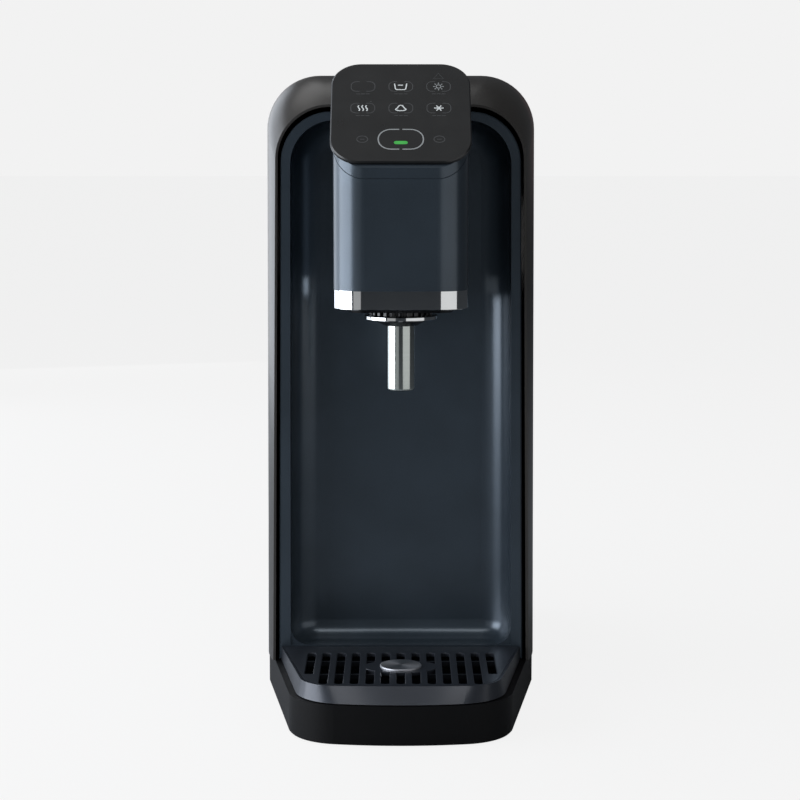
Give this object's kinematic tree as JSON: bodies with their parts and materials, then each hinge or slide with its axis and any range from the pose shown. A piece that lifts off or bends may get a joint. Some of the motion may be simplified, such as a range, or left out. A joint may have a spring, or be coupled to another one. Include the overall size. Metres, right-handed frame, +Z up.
{
  "type": "countertop water dispenser",
  "caption": "Slim arched countertop water purifier with a sloped touch-control head, a chrome nozzle over a recessed dispensing bay and a lift-out slotted drip tray.",
  "frame": {"origin": "middle of the footprint, on the surface it stands on", "axes": "+Z up, -Y out of the front where the cup goes, +X to the right seen from the front"},
  "size_m": [0.183, 0.39, 0.4237],
  "materials": {
    "graphite_shell": "satin moulded ABS, graphite",
    "blue_grey_metallic": "metallic-look lacquer over moulded ABS",
    "black_base": "black satin ABS",
    "panel_black": "tinted cover plate, satin",
    "chrome_trim": "bright chrome plate",
    "black_rubber": "matte",
    "dark_collar": "black acetal",
    "screw_steel": "zinc plated",
    "green_light": "lit acrylic light guide",
    "circuit_board": "solder mask over glass-epoxy",
    "frame_grey": "moulded ABS",
    "white_filter": "moulded polypropylene",
    "tank_steel": "drawn stainless steel",
    "white_foam": "expanded polystyrene",
    "black_steel": "black enamel over steel",
    "fin_aluminium": "mill finish",
    "bracket_steel": "galvanised sheet",
    "fan_black": "glass-filled nylon",
    "clear_tube": "polyethylene tube",
    "valve_white": "acetal"
  },
  "bodies": {
    "housing": {"base_housing": "black_base", "base_plate": "black_base", "base_screws": "screw_steel", "rubber_feet": "black_rubber", "housing_shell": "graphite_shell", "rear_cover": "graphite_shell", "rear_cover_screws": "screw_steel", "front_liner": "blue_grey_metallic", "head_cover": "blue_grey_metallic", "head_cap": "blue_grey_metallic", "control_panel": "panel_black", "led_guide": "green_light", "touch_board": "circuit_board", "chrome_band": "chrome_trim", "head_underside": "dark_collar", "outlet_block": "valve_white", "inner_frame": "frame_grey", "filter_manifold": "frame_grey", "cold_tank": "tank_steel", "tank_insulation": "white_foam", "compressor": "black_steel", "compressor_mounts": "black_rubber", "condenser": "fin_aluminium", "fan_shroud": "fan_black", "instant_heater": "tank_steel", "heater_bracket": "bracket_steel", "valve_block": "valve_white", "valve_bracket": "bracket_steel", "power_board": "circuit_board", "control_board": "circuit_board", "board_carrier": "frame_grey", "cold_tube": "clear_tube", "hot_tube": "clear_tube", "inlet_fitting": "valve_white", "drain_socket": "valve_white", "power_inlet": "fan_black", "hot_switch_frame": "fan_black", "cold_switch_frame": "fan_black"},
    "tray": {"drip_tray": "blue_grey_metallic"},
    "grille": {"drip_grille": "blue_grey_metallic", "grille_disc": "tank_steel"},
    "lock_ring": {"nozzle_ring": "dark_collar"},
    "nozzle": {"nozzle_tube": "chrome_trim", "nozzle_flange": "chrome_trim", "nozzle_collar": "dark_collar", "nozzle_seal": "black_rubber"},
    "filter_lid": {"filter_cover": "graphite_shell"},
    "left_filter": {"filter_left": "white_filter"},
    "right_filter": {"filter_right": "white_filter"},
    "fan": {"fan_rotor": "fan_black"},
    "hot_rocker": {"hot_switch_rocker": "fan_black"},
    "cold_rocker": {"cold_switch_rocker": "fan_black"},
    "drain_cap": {"drain_plug": "black_rubber"}
  },
  "joints": [
    {"name": "tray_lift", "type": "slide", "parent": "housing", "child": "tray", "axis": [0, 0, 1], "range_m": [0, 0.06]},
    {"name": "grille_lift", "type": "slide", "parent": "tray", "child": "grille", "axis": [0, 0, 1], "range_m": [0, 0.05]},
    {"name": "lock_ring_turn", "type": "hinge", "parent": "housing", "child": "lock_ring", "pos_m": [0, -0.134, 0.2665], "axis": [0, 0, 1], "range_deg": [0, 30]},
    {"name": "nozzle_drop", "type": "slide", "parent": "housing", "child": "nozzle", "axis": [0, 0, -1], "range_m": [0, 0.01]},
    {"name": "filter_lid_lift", "type": "slide", "parent": "housing", "child": "filter_lid", "axis": [0, 0, 1], "range_m": [0, 0.06]},
    {"name": "left_filter_twist", "type": "hinge", "parent": "housing", "child": "left_filter", "pos_m": [-0.025, 0.122, 0.28], "axis": [0, 0, 1], "range_deg": [0, 60]},
    {"name": "right_filter_twist", "type": "hinge", "parent": "housing", "child": "right_filter", "pos_m": [0.025, 0.122, 0.28], "axis": [0, 0, 1], "range_deg": [0, 60]},
    {"name": "fan_spin", "type": "hinge", "parent": "housing", "child": "fan", "pos_m": [-0.03, 0.175, 0.084], "axis": [0, 1, 0], "continuous": true},
    {"name": "hot_switch", "type": "hinge", "parent": "housing", "child": "hot_rocker", "pos_m": [0.044, 0.19, 0.134], "axis": [1, 0, 0], "range_deg": [-8, 8]},
    {"name": "cold_switch", "type": "hinge", "parent": "housing", "child": "cold_rocker", "pos_m": [0.066, 0.19, 0.134], "axis": [1, 0, 0], "range_deg": [-8, 8]},
    {"name": "drain_plug_pull", "type": "slide", "parent": "housing", "child": "drain_cap", "axis": [0, 1, 0], "range_m": [0, 0.012]}
  ]
}
